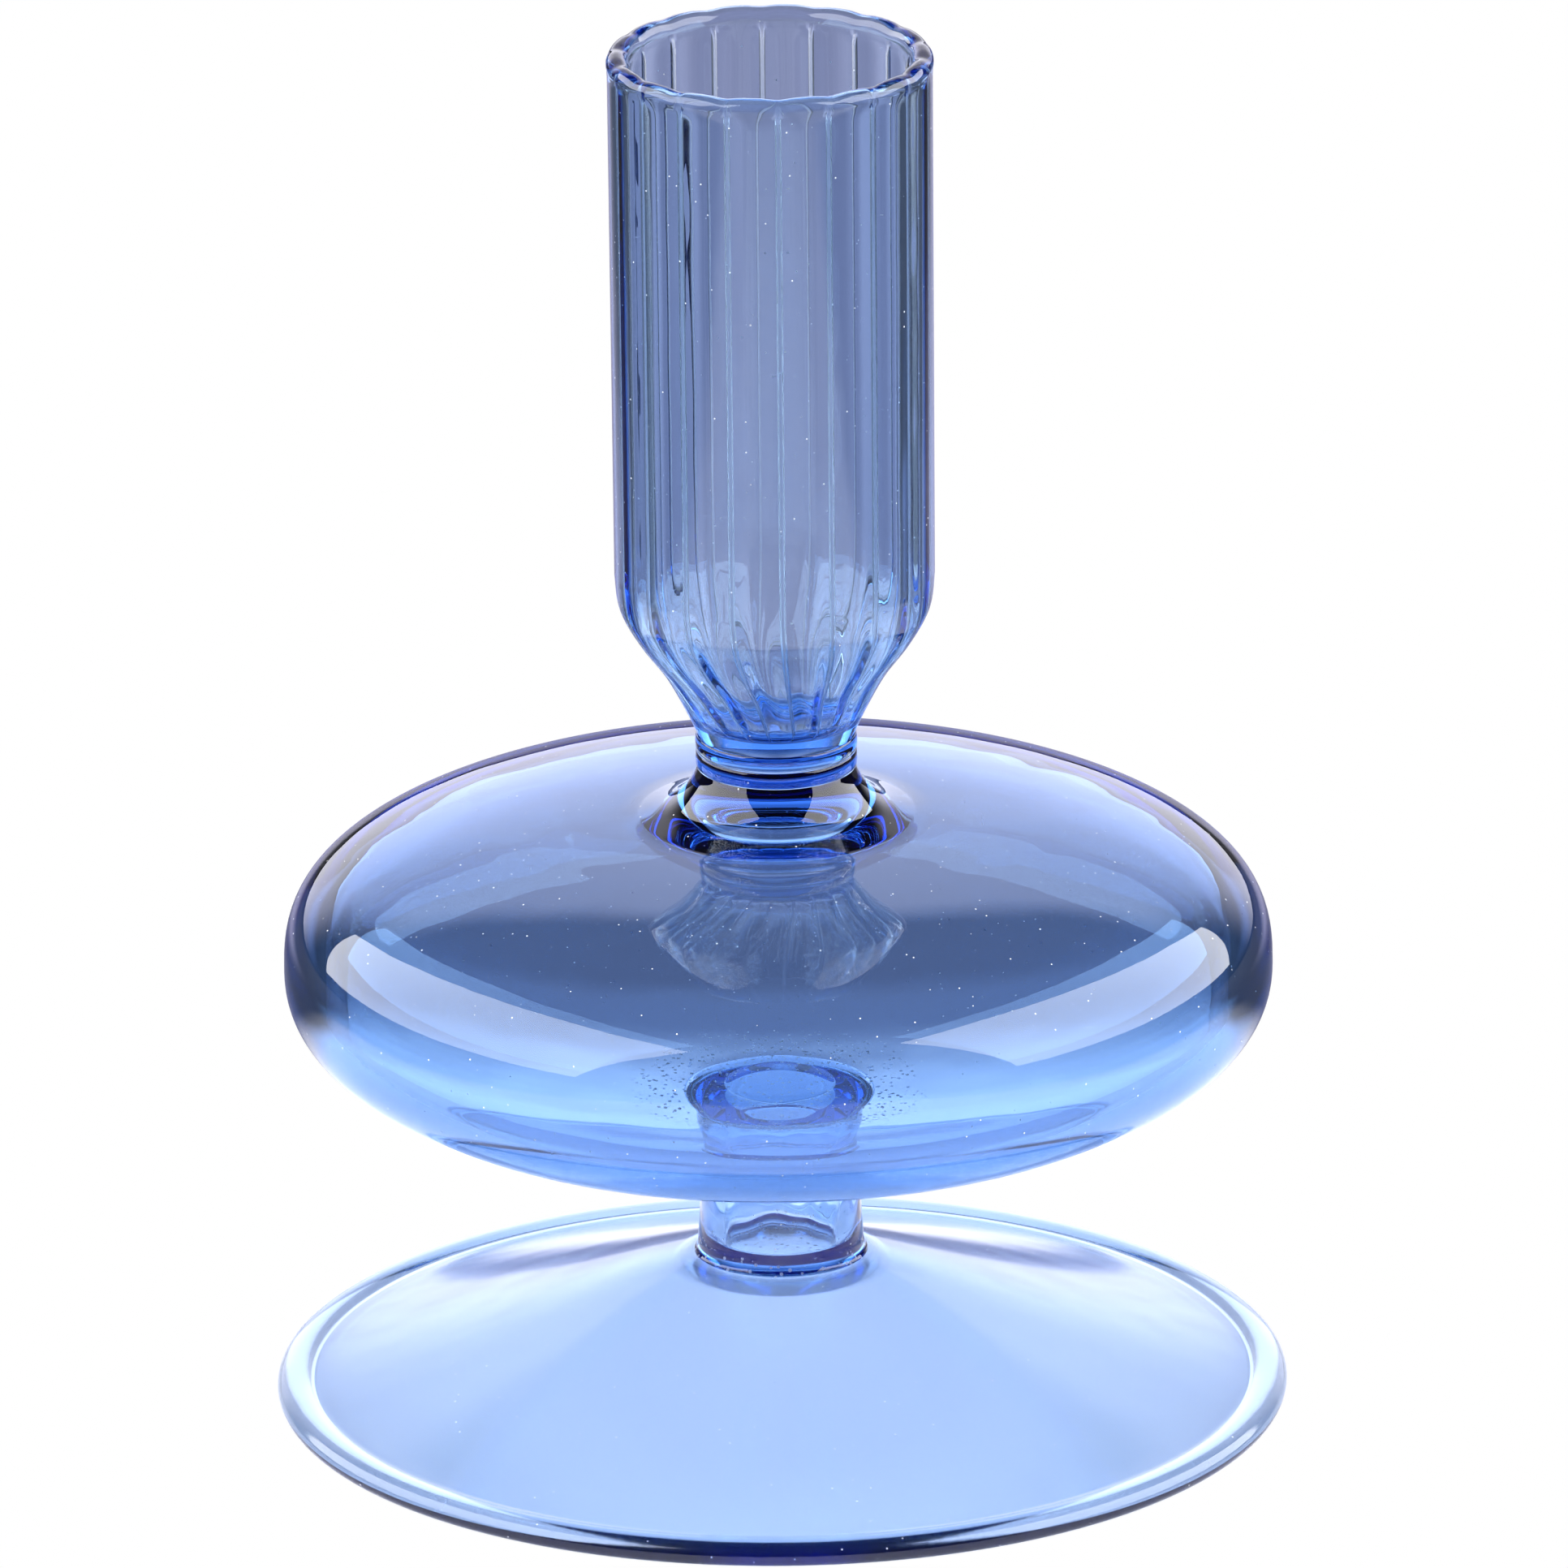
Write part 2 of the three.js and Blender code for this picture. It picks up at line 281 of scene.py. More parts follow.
def make_foot():
    inner = FOOT_R - BEAD_WIDTH
    width = inner - FOOT_TOP_R
    radii = [FOOT_TOP_R + width * i / LONG_STEPS for i in range(LONG_STEPS + 1)]
    upper = [(r, foot_face(r)) for r in radii]
    under = [(r, z - FOOT_WALL) for r, z in upper]
    corner = (FOOT_R - FOOT_CORNER, FOOT_CORNER)
    bead_centre = (FOOT_R - BEAD_WIDTH / 2, FOOT_CORNER)
    near_centre = (FOOT_NEAR_CENTRE[0], FOOT_TOP - FOOT_NEAR_CENTRE[1])
    outline = joined(
        through([(0, FOOT_TOP - FOOT_CENTRE_WALL), near_centre, under[1]], 8),
        under[2:-1],
        [(inner + FOOT_REST_INSET, 0)],
        arc(corner, FOOT_CORNER, FOOT_CORNER, -90, 0, BEAD_STEPS),
        arc(bead_centre, BEAD_WIDTH / 2, BEAD_HEIGHT - FOOT_CORNER, 0, 135, EDGE_STEPS),
        upper[::-1],
        [(FOOT_TOP_R, FOOT_TOP), (0, FOOT_TOP)],
    )
    piece = turned("foot_glass", outline)
    worn = piece.data.attributes.new("worn", "FLOAT", "FACE")
    worn.data.foreach_set("value", [FOOT_WORN] * len(piece.data.polygons))
    mark_welds(piece, FOOT_TOP)
    return piece


def make_foot_weld():
    """The plug of melted glass under the stem. Its dished top closes the stem's tube."""
    lap = WELD_LAP
    across, up = FOOT_TOP_R - STEM_LOW_R, STEM_LOW - FOOT_TOP
    outline = joined(
        [(0, FOOT_TOP - lap), (FOOT_TOP_R, FOOT_TOP - lap)],
        arc((FOOT_TOP_R, STEM_LOW), across, up, 270, 180, FILLET_STEPS),
        [(STEM_LOW_R, STEM_LOW + lap), (BORE, STEM_LOW + lap)],
        arc((0, STEM_LOW), BORE, WELD_DISH, 0, -90, DOME_STEPS)[:-1],
        [(0, STEM_LOW - WELD_DISH)],
    )
    piece = turned("foot_weld_glass", outline)
    mark_welds(piece, FOOT_TOP - lap, STEM_LOW + lap)
    return piece


def bore_wave(angle, up):
    """Unevenness of the drawn tube's inside, from about -1 to 1."""
    return sum(
        depth * math.sin(turns * angle + climb * up + start)
        for depth, turns, climb, start in BORE_WAVES
    )


def make_stem():
    waist = (STEM_WAIST_R, (STEM_LOW + STEM_HIGH) / 2)
    side = through([(STEM_LOW_R, STEM_LOW), waist, (STEM_HIGH_R, STEM_HIGH)], 12)
    length = STEM_HIGH - STEM_LOW
    hollow = [(BORE, STEM_HIGH - length * i / DOME_STEPS) for i in range(DOME_STEPS)]
    outline = joined([(BORE, STEM_LOW)], side, hollow)
    piece = turned("stem_glass", outline)
    for vertex in piece.data.vertices:
        x, y, z = vertex.co
        if math.hypot(x, y) < BORE + WELD_NEAR:
            up = (z - STEM_LOW) / length
            swell = 1 + BORE_WAVE * math.sin(math.pi * up) * bore_wave(math.atan2(x, -y), up)
            vertex.co = (x * swell, y * swell, z)
    mark_welds(piece, STEM_LOW, STEM_HIGH)
    return piece


def bubble_floor():
    """The inside of the bubble from its widest circle down to the hole for the button."""
    inner_r = BUBBLE_R - BUBBLE_EDGE_WALL
    drop = BUBBLE_FACE_WALL - BUBBLE_DROP
    return bubble_quarter(inner_r, drop, BOTTOM_FULLNESS, inner_r, BORE, LONG_STEPS)


def make_stem_weld():
    """The weld over the stem and the solid button that closes the bubble."""
    lap = WELD_LAP
    across, up = BUBBLE_LOW_R - STEM_HIGH_R, BUBBLE_LOW - STEM_HIGH
    edge = bubble_floor()[-1]
    button = arc((0, edge[1]), BORE + lap, BUTTON_RISE, 0, 90, DOME_STEPS)[:-1]
    outline = joined(
        [(0, STEM_HIGH - lap), (STEM_HIGH_R, STEM_HIGH - lap)],
        arc((BUBBLE_LOW_R, STEM_HIGH), across, up, 180, 90, FILLET_STEPS),
        [(BUBBLE_LOW_R, BUBBLE_LOW + lap), (BORE + lap, BUBBLE_LOW + lap)],
        button,
        [(0, edge[1] + BUTTON_RISE)],
    )
    piece = turned("stem_weld_glass", outline)
    mark_welds(piece, STEM_HIGH - lap, BUBBLE_LOW + lap, round_radius=BORE + lap)
    return piece


def make_bubble():
    """The flattened shell: its hollow from the top down, then its outside up to the neck."""
    r, inner_r = BUBBLE_R, BUBBLE_R - BUBBLE_EDGE_WALL
    inner_rise = BUBBLE_RISE - BUBBLE_FACE_WALL
    shoulder = bubble_quarter(r, BUBBLE_RISE, TOP_FULLNESS, r, SHOULDER_R, LONG_STEPS)
    flare = [(across * MM, up * MM) for across, up in FLARE]
    roof = bubble_quarter(inner_r, inner_rise, TOP_FULLNESS, inner_r, PULL_R, LONG_STEPS)[::-1]
    outline = joined(
        arc((0, roof[0][1]), PULL_R, PULL, 90, 0, BEAD_STEPS),
        roof,
        bubble_floor(),
        [(BORE, BUBBLE_LOW)],
        bubble_quarter(r, -BUBBLE_DROP, BOTTOM_FULLNESS, BUBBLE_LOW_R, r, LONG_STEPS),
        shoulder,
        through([shoulder[-1], *flare, (NECK_R, NECK_LOW)], 5)[1:],
        [(0, NECK_LOW)],
    )
    piece = turned("bubble_glass", outline)
    mark_welds(piece, BUBBLE_LOW, NECK_LOW, round_radius=BORE)
    return piece


def make_neck_weld():
    """Solid, with two glossy rings."""
    lap = WELD_LAP
    bead = (NECK_HIGH - NECK_LOW) / 2
    outline = joined(
        [(0, NECK_LOW - lap), (NECK_R, NECK_LOW - lap)],
        arc((NECK_R, NECK_LOW + bead / 2), NECK_BEAD, bead / 2, -90, 90, BEAD_STEPS),
        arc((NECK_R, NECK_HIGH - bead / 2), NECK_BEAD, bead / 2, -90, 90, BEAD_STEPS),
        [(NECK_R, NECK_HIGH + lap), (0, NECK_HIGH + lap)],
    )
    piece = turned("neck_weld_glass", outline)
    mark_welds(piece, NECK_LOW - lap, NECK_HIGH + lap)
    return piece


# ---- Cup ---------------------------------------------------------------------------------

CUP_SIDES = 24  # to each rib
RIB_HALF_WIDTH = math.radians(1.2)
FLUTE = 0.12 * MM  # the glass between two ribs is this much hollower than round
FUNNEL_FLUTE = 0.35 * MM  # and this much over the funnel
LIP_WAVE = 0.16 * MM  # the lip dips at each rib
LIP_REACH = 3 * MM  # and the dip reaches this far down
RIB_TOP = (1.5 * MM, 1.1 * MM)  # the ribs end this far under the lip, and fade over this
RIB_FOOT = (0.3 * MM, 1.2 * MM)  # and the same over the cup's floor
RIB_FADE = 0.7


def rib_share(height):
    """From 0 where the ribs have run out, near the lip and the floor, to 1."""
    from_lip = (HEIGHT - RIB_TOP[0] - height) / RIB_TOP[1]
    from_floor = (height - CUP_FLOOR - RIB_FOOT[0]) / RIB_FOOT[1]
    return min(max(min(from_lip, from_floor), 0), 1) ** RIB_FADE


def funnel_share(height):
    """1 half-way up the funnel, 0 at the cup's floor and at the straight part."""
    share = (STRAIGHT_LOW - height) / (STRAIGHT_LOW - CUP_FLOOR)
    return math.sin(math.pi * min(max(share, 0), 1))


def twist_at(height):
    share = (STRAIGHT_LOW - height) / (STRAIGHT_LOW - CUP_FLOOR)
    return RIB_TWIST * min(max(share, 0), 1) ** 2


def cup_outside():
    middle = [(r * MM, z * MM) for r, z in FUNNEL_OUTSIDE]
    funnel = through([(CUP_BASE_R, NECK_HIGH), *middle, (CUP_R, STRAIGHT_LOW)], 6)
    return [*funnel, (CUP_R + CUP_FLARE, STRAIGHT_HIGH)]


def cup_inside():
    inner = CUP_R - CUP_WALL
    top = [(inner + CUP_FLARE, STRAIGHT_HIGH + z * MM) for z in TOP_RINGS]
    middle = [(r * MM, z * MM) for r, z in FUNNEL_INSIDE]
    return [*top, *through([(inner, STRAIGHT_LOW), *middle, (CUP_CENTRE_R, CUP_FLOOR)], 6)]


def make_cup():
    """Draws a ring up the outside, over the lip and down the inside to the floor."""
    sides = RIBS * CUP_SIDES
    lip = arc((LIP_R - LIP / 2, HEIGHT - LIP / 2), LIP / 2, LIP / 2, *LIP_TURN, LIP_STEPS)
    outside = joined([(CUP_CENTRE_R, NECK_HIGH)], cup_outside(), lip)
    inside = cup_inside()
    outline = [*outside, *inside]
    first_inside = len(outside)
    if bpy.context.object and bpy.context.object.mode == "EDIT":
        bpy.ops.object.mode_set(mode="OBJECT")
    bpy.ops.object.select_all(action="DESELECT")
    bpy.ops.mesh.primitive_circle_add(
        vertices=sides, radius=outline[0][0], fill_type="NOTHING", location=(0, 0, outline[0][1])
    )
    piece = bpy.context.object
    piece.name = piece.data.name = "ribbed_cup_glass"
    bpy.ops.object.transform_apply(location=True, rotation=True, scale=True)
    bpy.ops.object.mode_set(mode="EDIT")
    bpy.ops.mesh.select_mode(type="VERT")
    bpy.ops.mesh.select_all(action="SELECT")
    for (r0, z0), (r1, z1) in zip(outline, outline[1:]):
        bpy.ops.mesh.extrude_region_move(TRANSFORM_OT_translate={"value": (0, 0, z1 - z0)})
        grow = r1 / r0
        bpy.ops.transform.resize(value=(grow, grow, 1), center_override=(0, 0, z1))
    bpy.ops.object.mode_set(mode="OBJECT")
    shape_ribs(piece, outline, first_inside, sides)
    bpy.ops.object.mode_set(mode="EDIT")
    bpy.ops.mesh.select_all(action="DESELECT")
    bpy.ops.mesh.select_non_manifold()
    bpy.ops.mesh.edge_face_add()
    finish_mesh()
    mark_welds(piece, NECK_HIGH)
    return piece


def shape_ribs(piece, outline, first_inside, sides):
    """Presses the ribs into the inside, twists the funnel and lets the lip sag at each rib."""
    pitch = 2 * math.pi / RIBS
    half = CUP_SIDES // 2
    # Half of the points round one rib lie on the rib itself, the rest between the ribs.
    crest = half // 2
    places = [RIB_HALF_WIDTH * i / crest for i in range(crest + 1)]
    rest = half - crest
    width = pitch / 2 - RIB_HALF_WIDTH
    places += [RIB_HALF_WIDTH + width * i / rest for i in range(1, rest + 1)]
    crests = [0.0] * len(piece.data.vertices)
    for i, vertex in enumerate(piece.data.vertices):
        level, side = divmod(i, sides)
        radius, height = outline[level]
        rib, step = divmod(side + half, CUP_SIDES)
        step -= half
        off = math.copysign(places[abs(step)], step)
        angle = pitch * rib + off + RIB_START + twist_at(height)
        if level >= first_inside:
            share = rib_share(height)
            if abs(off) < RIB_HALF_WIDTH:
                ridge = math.sqrt(1 - (off / RIB_HALF_WIDTH) ** 2)
            else:
                ridge = 0
            hollow = math.cos(math.pi * min(abs(off) / (pitch / 2), 1)) / 2 - 0.5
            flute = FLUTE + (FUNNEL_FLUTE - FLUTE) * funnel_share(height)
            radius -= share * (RIB_HEIGHT * ridge + flute * hollow)
            crests[i] = share * ridge
        near_lip = min(max((height - HEIGHT + LIP_REACH) / LIP_REACH, 0), 1)
        height -= LIP_WAVE * near_lip * (0.5 + 0.5 * math.cos(RIBS * off)) ** 2
        vertex.co = (radius * math.sin(angle), -radius * math.cos(angle), height)
    crest_share = piece.data.attributes.new("crest", "FLOAT", "POINT")
    crest_share.data.foreach_set("value", crests)


# ---- Glass -------------------------------------------------------------------------------

GLASS_IOR = 1.47
DUST_CELL = 1.4 * MM
DUST_RADIUS = 0.09 * MM
DUST_SHARE = 0.7
SPECK_CORE = 0.6  # a speck fades out over the rest of its radius
CREST_MATT = 0.3
MATT_ROUGH = 0.6
SEED_CELL = 0.7 * MM
SEED_RADIUS = 0.2 * MM
SEED_SHARE = 0.8
SEED_MATT = 0.25
SEED_ROUGH = 0.7
SEED_PATCH = (15 * MM, 10 * MM)  # away from the axis: where it starts, and where it is full
SEED_HEIGHT = (31 * MM, 30 * MM)
FOOT_WORN = 0.1  # roughness of the foot's often-wiped face
UNEVEN_SIZE = 9 * MM
UNEVEN_DEPTH = 0.05 * MM
LEAST_LEFT = 0.001


def linear(hex_colour):
    """sRGB hex to linear RGBA."""
    parts = [int(hex_colour[i:i + 2], 16) / 255 for i in (0, 2, 4)]
    return (*[c / 12.92 if c <= 0.04045 else ((c + 0.055) / 1.055) ** 2.4 for c in parts], 1)


def add_node(tree, kind, inputs=None, **settings):
    """Adds a node with its settings, and sets each input to a value or links it to a socket."""
    node = tree.nodes.new(kind)
    for name, value in settings.items():
        setattr(node, name, value)
    for name, value in (inputs or {}).items():
        if isinstance(value, bpy.types.NodeSocket):
            tree.links.new(value, node.inputs[name])
        else:
            node.inputs[name].default_value = value
    return node


def specks(tree, place, cell, radius, share):
    """1 on round specks of the given radius, one to a cell, and on a share of the cells."""
    dots = add_node(
        tree, "ShaderNodeTexVoronoi", {"Vector": place, "Scale": 1 / cell, "Randomness": 1.0}
    )
    inside = add_node(
        tree, "ShaderNodeMapRange",
        {
            "Value": dots.outputs["Distance"],
            "From Min": radius / cell, "From Max": SPECK_CORE * radius / cell,
        },
        interpolation_type="SMOOTHSTEP",
    )
    pick = add_node(tree, "ShaderNodeSeparateColor", {0: dots.outputs["Color"]})
    chosen = add_node(
        tree, "ShaderNodeMath", {0: pick.outputs[0], 1: share}, operation="LESS_THAN"
    )
    both = add_node(
        tree, "ShaderNodeMath", {0: inside.outputs[0], 1: chosen.outputs[0]},
        operation="MULTIPLY",
    )
    return both.outputs[0]


def seeds(tree, place):
    """1 on the tiny bubbles in the melted glass between the stem and the bubble."""
    flat = add_node(
        tree, "ShaderNodeVectorMath", {0: place, 1: (1, 1, 0)}, operation="MULTIPLY"
    )
    away = add_node(tree, "ShaderNodeVectorMath", {0: flat.outputs[0]}, operation="LENGTH")
    split = add_node(tree, "ShaderNodeSeparateXYZ", {0: place})
    grain = specks(tree, place, SEED_CELL, SEED_RADIUS, SEED_SHARE)
    reaches = ((away.outputs["Value"], SEED_PATCH), (split.outputs["Z"], SEED_HEIGHT))
    for value, (start, full) in reaches:
        reach = add_node(
            tree, "ShaderNodeMapRange", {"Value": value, "From Min": start, "From Max": full},
            interpolation_type="SMOOTHSTEP",
        )
        grain = add_node(
            tree, "ShaderNodeMath", {0: grain, 1: reach.outputs[0]}, operation="MULTIPLY"
        ).outputs[0]
    return grain


def glass(name, tint, depth, seeded=False):
    """Borosilicate, flame-worked: the eye gets clear, fire-polished gloss, slightly uneven from
    the hand, and a tint that deepens with the glass's thickness. tint is what is left of white
    after the given depth. Rib crests are left a little matt by the mould, the foot is a little
    dull from wiping, dust lies on every face, and a seeded glass is full of tiny bubbles beside
    its weld."""
    material = bpy.data.materials.new(name)
    material.use_nodes = True
    tree = material.node_tree
    tree.nodes.clear()
    place = add_node(tree, "ShaderNodeTexCoord").outputs["Object"]
    crest = add_node(tree, "ShaderNodeAttribute", attribute_name="crest").outputs["Fac"]
    grain = seeds(tree, place) if seeded else 0.0
    matt = specks(tree, place, DUST_CELL, DUST_RADIUS, DUST_SHARE)
    for mark, share in ((crest, CREST_MATT), (grain, SEED_MATT)):
        part = add_node(tree, "ShaderNodeMath", {0: mark, 1: share}, operation="MULTIPLY")
        matt = add_node(
            tree, "ShaderNodeMath", {0: matt, 1: part.outputs[0]}, operation="MAXIMUM"
        ).outputs[0]
    rough = add_node(tree, "ShaderNodeAttribute", attribute_name="worn").outputs["Fac"]
    for mark, share in ((matt, MATT_ROUGH), (grain, SEED_ROUGH)):
        part = add_node(tree, "ShaderNodeMath", {0: mark, 1: share}, operation="MULTIPLY")
        rough = add_node(
            tree, "ShaderNodeMath", {0: rough, 1: part.outputs[0]}, operation="MAXIMUM"
        ).outputs[0]
    clear = add_node(tree, "ShaderNodeMath", {0: 1.0, 1: matt}, operation="SUBTRACT")
    uneven = add_node(
        tree, "ShaderNodeTexNoise", {"Vector": place, "Scale": 1 / UNEVEN_SIZE, "Detail": 1.0}
    )
    bump = add_node(
        tree, "ShaderNodeBump", {"Height": uneven.outputs[0], "Distance": UNEVEN_DEPTH}
    )
    surface = add_node(
        tree, "ShaderNodeBsdfPrincipled",
        {
            "Base Color": (1, 1, 1, 1), "IOR": GLASS_IOR, "Roughness": rough,
            "Transmission Weight": clear.outputs[0], "Normal": bump.outputs[0],
        },
    )
    # Where one glass runs on into the next there is no surface to see.
    run_on = add_node(tree, "ShaderNodeBsdfRefraction", {"IOR": 1.0, "Roughness": 0.0})
    weld = add_node(tree, "ShaderNodeAttribute", attribute_name="weld")
    face = add_node(
        tree, "ShaderNodeMixShader",
        {0: weld.outputs["Fac"], 1: surface.outputs[0], 2: run_on.outputs[0]},
    )
    taken = [-math.log(max(left, LEAST_LEFT)) / depth for left in linear(tint)[:3]]
    most = max(taken)
    inside = add_node(
        tree, "ShaderNodeVolumeAbsorption",
        {"Density": most, "Color": (*[1 - t / most for t in taken], 1)},
    )
    add_node(
        tree, "ShaderNodeOutputMaterial", {"Surface": face.outputs[0], "Volume": inside.outputs[0]}
    )
    return material


# ---- Stage -------------------------------------------------------------------------------

FLOOR_SIZE = 8
FLOOR_ROUGH = 0.9
CARD = "e7e7ec"  # the bright card under the vase
CARD_PAINTED_GLOW = "adb1c5"  # and the painted pool of light it gives off round the vase, with no lamp under it
GAP_PAINTED_SHADE = "616176"  # painted shade round the vase: the table behind the card
# and the painted shade darker still, further aside
GAP_SIDE = "272731"
PAPER = "6c6c86"  # pale paper further back, darker behind the vase with its painted shadow
PAPER_ASIDE = "9593aa"  # and beside that painted shadow
# Each zone's edges, in metres aside from the vase or behind it: where it starts, and is full.
CARD_BACK = (0.085, 0.05)
CARD_FRONT = (-0.5, -0.4)
CARD_SIDE = (0.2, 0.16)
# The painted pool of light glowing on the card round the vase's foot:
GLOW_FRONT = (-0.14, -0.08)
GLOW_SIDE = (0.06, 0.015)
GLOW_LEFT = 0.3  # of the painted glow, further aside
# where the painted shade darkens further aside
GAP_SIDES = (0.035, 0.1)
PAPER_START = (0.13, 0.2)
PAPER_SIDE = (0.2, 0.11)
# where the vase's painted shadow down the paper's middle gives way
PAPER_PAINTED_SHADOW_EDGES = (0.0, 0.1)

STUDIO_LIGHT = 2.2  # what the backdrop's colours are times
ROOM = "25252a"
BACKDROP = "efefff"
BACKDROP_HIGH = "b4b4c3"
BACKDROP_SIDES = (math.radians(42), math.radians(20))
BACKDROP_TOP = (math.sin(math.radians(38)), math.sin(math.radians(32)))
BACKDROP_FALL = (math.sin(math.radians(8)), math.sin(math.radians(26)))

SOFTBOX_HEIGHT = 0.7  # of its top edge over the bubble
SOFTBOX_DEPTH = 1.0  # of its leaning side, as a share of that height
SOFTBOX_LEAN = math.radians(36)
SOFTBOX_ALONG = (0.389, 0.921)  # its long edge, outwards and back
SOFTBOX_POWER = 20
# Side (-1 is left), upper corner nearest the camera for a top edge at 1, and width.
SOFTBOXES = {
    "softbox left": (-1, (0.33, -0.6), 2.5),
    "softbox right": (1, (0.4, -0.45), 2.3),
}


def add_floor():
    """A bright card under the vase with a painted pool of light glowing on it round the foot, on
    a table darkened by painted shade round the vase, and pale paper further back with a painted
    shadow of the vase down its middle. To the camera it is all plain white."""
    bpy.ops.object.select_all(action="DESELECT")
    bpy.ops.mesh.primitive_plane_add(size=FLOOR_SIZE, location=(0, 0, 0))
    floor = bpy.context.object
    floor.name = "floor"
    material = bpy.data.materials.new("pale table and card")
    material.use_nodes = True
    tree = material.node_tree
    tree.nodes.clear()
    place = add_node(tree, "ShaderNodeTexCoord")
    split = add_node(tree, "ShaderNodeSeparateXYZ", {0: place.outputs["Object"]})
    aside = add_node(tree, "ShaderNodeMath", {0: split.outputs["X"]}, operation="ABSOLUTE")
    across, back = aside.outputs[0], split.outputs["Y"]
    zones = {
        # painted shade: a dark strip of table round the vase
        "painted_shade_gap": [(across, GAP_SIDES, 0)],
        # painted shadow of the vase down the middle of the paper
        "aside": [(across, PAPER_PAINTED_SHADOW_EDGES, 0)],
        "paper": [(back, PAPER_START, 0), (across, PAPER_SIDE, 0)],
        "card": [(back, CARD_BACK, 0), (across, CARD_SIDE, 0), (back, CARD_FRONT, 0)],
        # painted pool of light glowing on the card round the vase's foot
        "painted_glow": [(across, GLOW_SIDE, GLOW_LEFT), (back, GLOW_FRONT, 0)],
    }
    share = {}
    for zone, edges in zones.items():
        share[zone] = 1.0
        for value, (start, full), least in edges:
            edge = add_node(
                tree, "ShaderNodeMapRange",
                {"Value": value, "From Min": start, "From Max": full, "To Min": least},
                interpolation_type="SMOOTHSTEP",
            )
            share[zone] = add_node(
                tree, "ShaderNodeMath", {0: share[zone], 1: edge.outputs[0]},
                operation="MULTIPLY",
            ).outputs[0]
    # The paper is darker down the middle, with a painted shadow of the vase.
    paper_with_painted_shadow = add_node(
        tree, "ShaderNodeMix", {0: share["aside"], 6: linear(PAPER), 7: linear(PAPER_ASIDE)},
        data_type="RGBA",
    )
    # Painted shade: the table round the vase is dark, and darker aside.
    tone = linear(GAP_PAINTED_SHADE)
    layers = (("painted_shade_gap", linear(GAP_SIDE)), ("paper", paper_with_painted_shadow.outputs[2]), ("card", linear(CARD)))
    for zone, colour in layers:
        tone = add_node(
            tree, "ShaderNodeMix", {0: share[zone], 6: tone, 7: colour}, data_type="RGBA"
        ).outputs[2]
    # Painted pool of light: the card glows round the vase's foot, with no lamp there.
    lit = add_node(
        tree, "ShaderNodeMath", {0: share["card"], 1: share["painted_glow"]}, operation="MULTIPLY"
    )
    # Matt table, paper and card: the eye gets no shine from them, only their tone.
    paper = add_node(
        tree, "ShaderNodeBsdfPrincipled",
        {
            "Base Color": tone, "Roughness": FLOOR_ROUGH,
            "Emission Color": linear(CARD_PAINTED_GLOW), "Emission Strength": lit.outputs[0],
        },
    )
    white = add_node(tree, "ShaderNodeEmission")
    path = add_node(tree, "ShaderNodeLightPath")
    seen = add_node(
        tree, "ShaderNodeMixShader",
        {0: path.outputs["Is Camera Ray"], 1: paper.outputs[0], 2: white.outputs[0]},
    )
    add_node(tree, "ShaderNodeOutputMaterial", {"Surface": seen.outputs[0]})
    floor.data.materials.append(material)


def add_softbox(name, side, front, width):
    """A long softbox that leans in over the vase."""
    outwards, back = SOFTBOX_ALONG
    drop = math.sin(SOFTBOX_LEAN)
    along = Vector((side * outwards, back, 0))
    down = Vector((side * back * drop, -outwards * drop, -math.cos(SOFTBOX_LEAN)))
    corner = Vector((side * front[0], front[1], 1.0))
    centre = (corner + along * width / 2 + down * SOFTBOX_DEPTH / 2) * SOFTBOX_HEIGHT
    data = bpy.data.lights.new(name, "AREA")
    data.shape = "RECTANGLE"
    data.size = width * SOFTBOX_HEIGHT
    data.size_y = SOFTBOX_DEPTH * SOFTBOX_HEIGHT
    data.energy = SOFTBOX_POWER
    light = bpy.data.objects.new(name, data)
    bpy.context.scene.collection.objects.link(light)
    light.location = centre + Vector((0, 0, BUBBLE_MIDDLE))
    facing = down.cross(along) * side  # from the vase towards the softbox
    turn = Matrix((along, facing.cross(along), facing)).transposed()
    light.rotation_euler = turn.to_euler()
    light.visible_camera = False


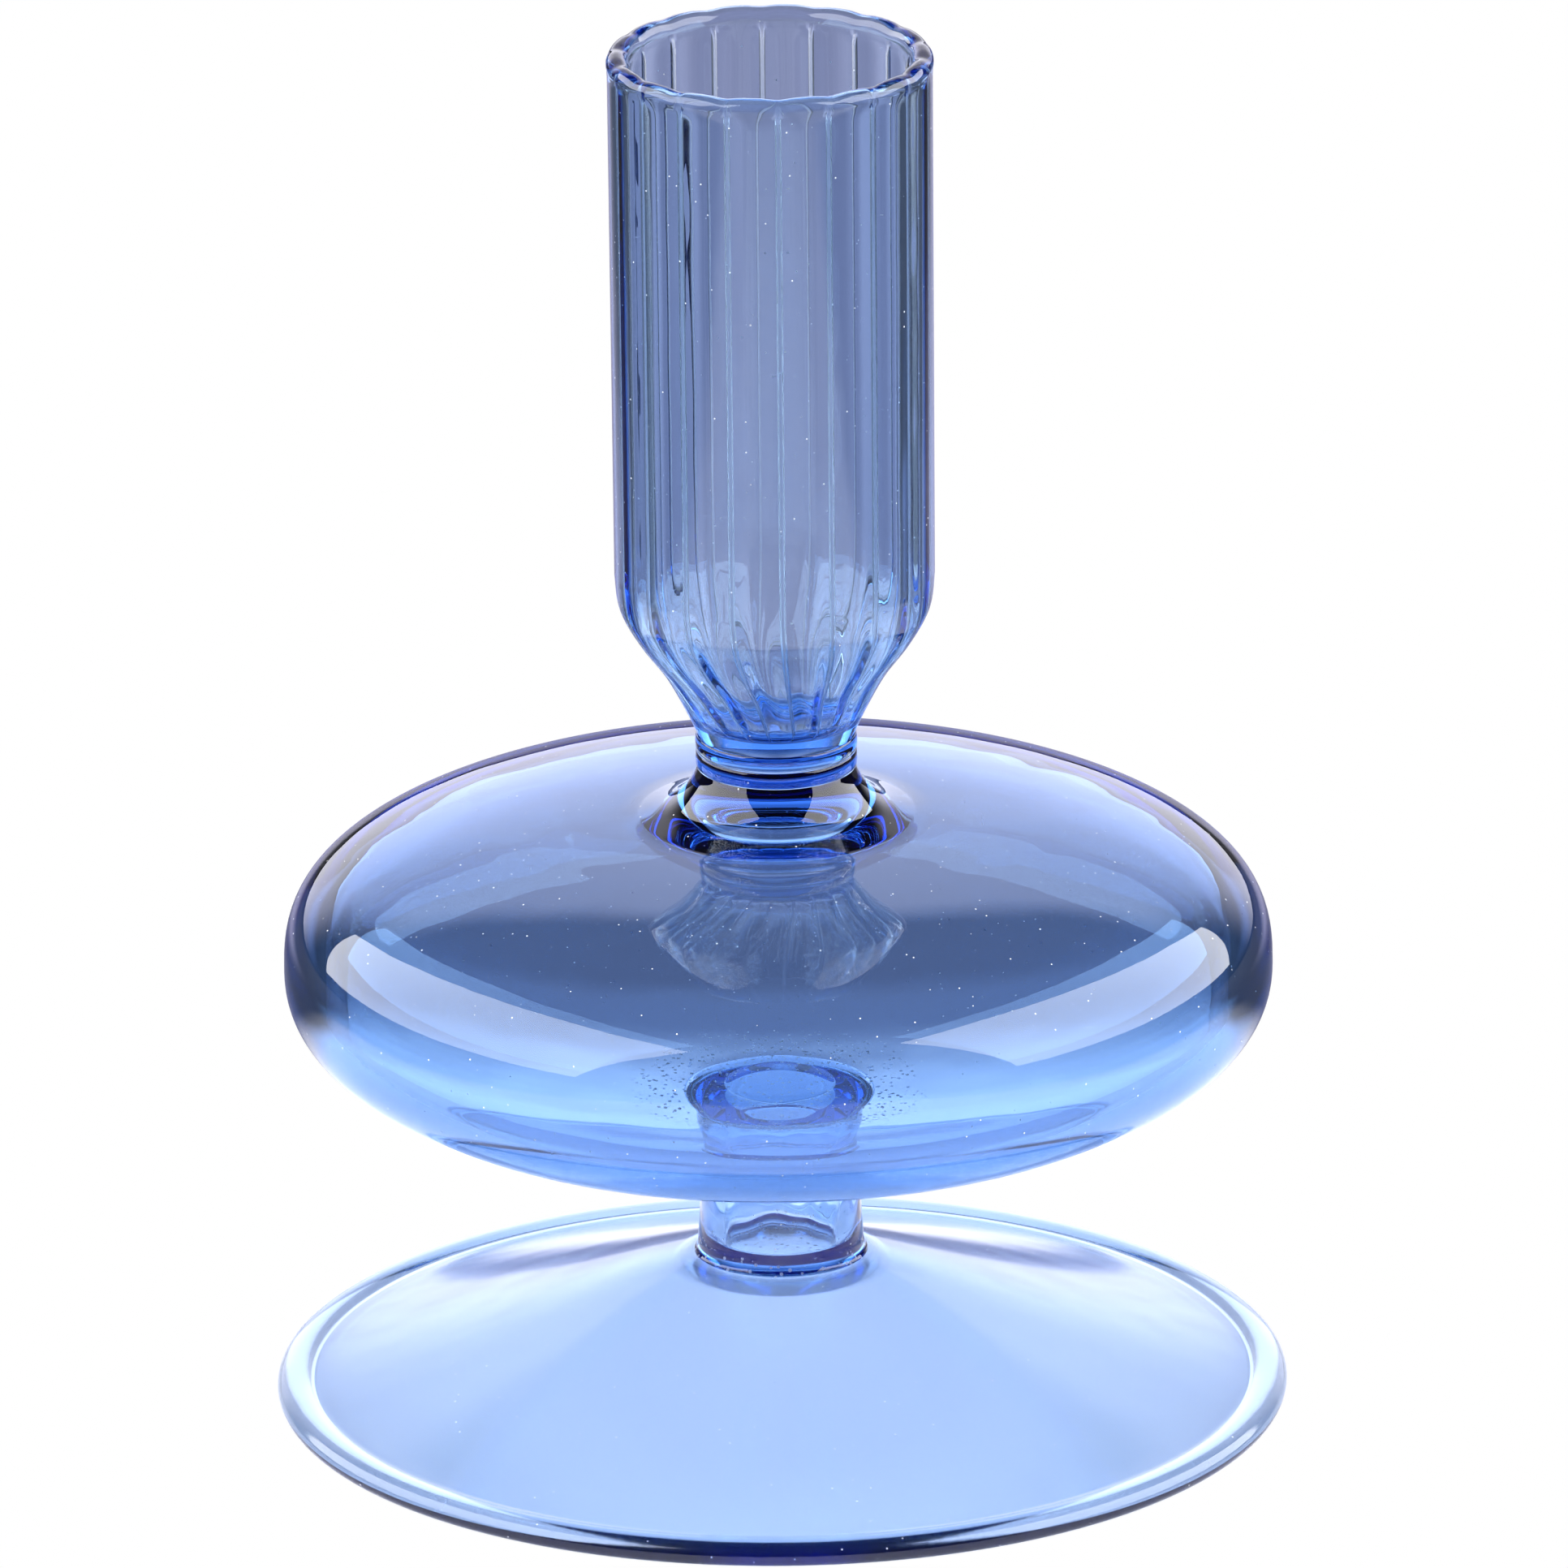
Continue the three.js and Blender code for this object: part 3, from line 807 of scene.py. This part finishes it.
def add_world():
    """A bright paper backdrop behind the vase, in a dim room. To the camera it is white."""
    world = bpy.data.worlds.new("studio")
    bpy.context.scene.world = world
    world.use_nodes = True
    tree = world.node_tree
    tree.nodes.clear()
    place = add_node(tree, "ShaderNodeTexCoord")
    split = add_node(tree, "ShaderNodeSeparateXYZ", {0: place.outputs["Generated"]})
    behind = add_node(
        tree, "ShaderNodeMath", {0: split.outputs["X"], 1: split.outputs["Y"]},
        operation="ARCTAN2",
    )
    wide = add_node(tree, "ShaderNodeMath", {0: behind.outputs[0]}, operation="ABSOLUTE")
    height = split.outputs["Z"]
    edges = {
        "sides": (wide.outputs[0], BACKDROP_SIDES),
        "top": (height, BACKDROP_TOP),
        "fall": (height, BACKDROP_FALL),
    }
    reach = {}
    for edge, (value, (start, full)) in edges.items():
        reach[edge] = add_node(
            tree, "ShaderNodeMapRange", {"Value": value, "From Min": start, "From Max": full},
            interpolation_type="SMOOTHSTEP",
        ).outputs[0]
    lit = add_node(
        tree, "ShaderNodeMath", {0: reach["sides"], 1: reach["top"]}, operation="MULTIPLY"
    )
    paper = add_node(
        tree, "ShaderNodeMix",
        {0: reach["fall"], 6: linear(BACKDROP), 7: linear(BACKDROP_HIGH)}, data_type="RGBA",
    )
    tone = add_node(
        tree, "ShaderNodeMix", {0: lit.outputs[0], 6: linear(ROOM), 7: paper.outputs[2]},
        data_type="RGBA",
    )
    studio = add_node(
        tree, "ShaderNodeBackground", {"Color": tone.outputs[2], "Strength": STUDIO_LIGHT}
    )
    white = add_node(tree, "ShaderNodeBackground", {"Color": (1, 1, 1, 1), "Strength": 1.0})
    path = add_node(tree, "ShaderNodeLightPath")
    seen = add_node(
        tree, "ShaderNodeMixShader",
        {0: path.outputs["Is Camera Ray"], 1: studio.outputs[0], 2: white.outputs[0]},
    )
    add_node(tree, "ShaderNodeOutputWorld", {"Surface": seen.outputs[0]})


def set_up():
    add_floor()
    add_world()
    for name, placing in SOFTBOXES.items():
        add_softbox(name, *placing)
    scene = bpy.context.scene
    scene.view_settings.view_transform = "Standard"
    scene.cycles.max_bounces = 32
    scene.cycles.transmission_bounces = 32
    scene.cycles.glossy_bounces = 16
    scene.cycles.diffuse_bounces = 4
    scene.cycles.transparent_max_bounces = 32
    scene.cycles.sample_clamp_indirect = 10


# ---- The vase ----------------------------------------------------------------------------

PIECES = {
    "foot": (make_foot, "foot_glass"),
    "foot_weld": (make_foot_weld, "weld_glass"),
    "stem": (make_stem, "foot_glass"),
    "stem_weld": (make_stem_weld, "weld_glass"),
    "bubble": (make_bubble, "bubble_glass"),
    "neck_weld": (make_neck_weld, "weld_glass"),
    "ribbed_cup": (make_cup, "cup_glass"),
}

TINT = "b2cfef"
TINT_DEPTH = 3.6 * MM
WELD_TINT_DEPTH = 14 * MM  # melted thin and clear

add_camera()
glasses = {
    "foot_glass": glass("light blue borosilicate", TINT, TINT_DEPTH),
    "weld_glass": glass("blue borosilicate, melted", TINT, WELD_TINT_DEPTH, seeded=True),
    "bubble_glass": glass("blue-violet borosilicate, blown", TINT, TINT_DEPTH, seeded=True),
    "cup_glass": glass("blue-violet borosilicate, ribbed", TINT, TINT_DEPTH),
}
for node, (make, slot) in PIECES.items():
    made = make()
    made.data.materials.append(glasses[slot])
    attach(made, "root")
    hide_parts(node)

set_up()
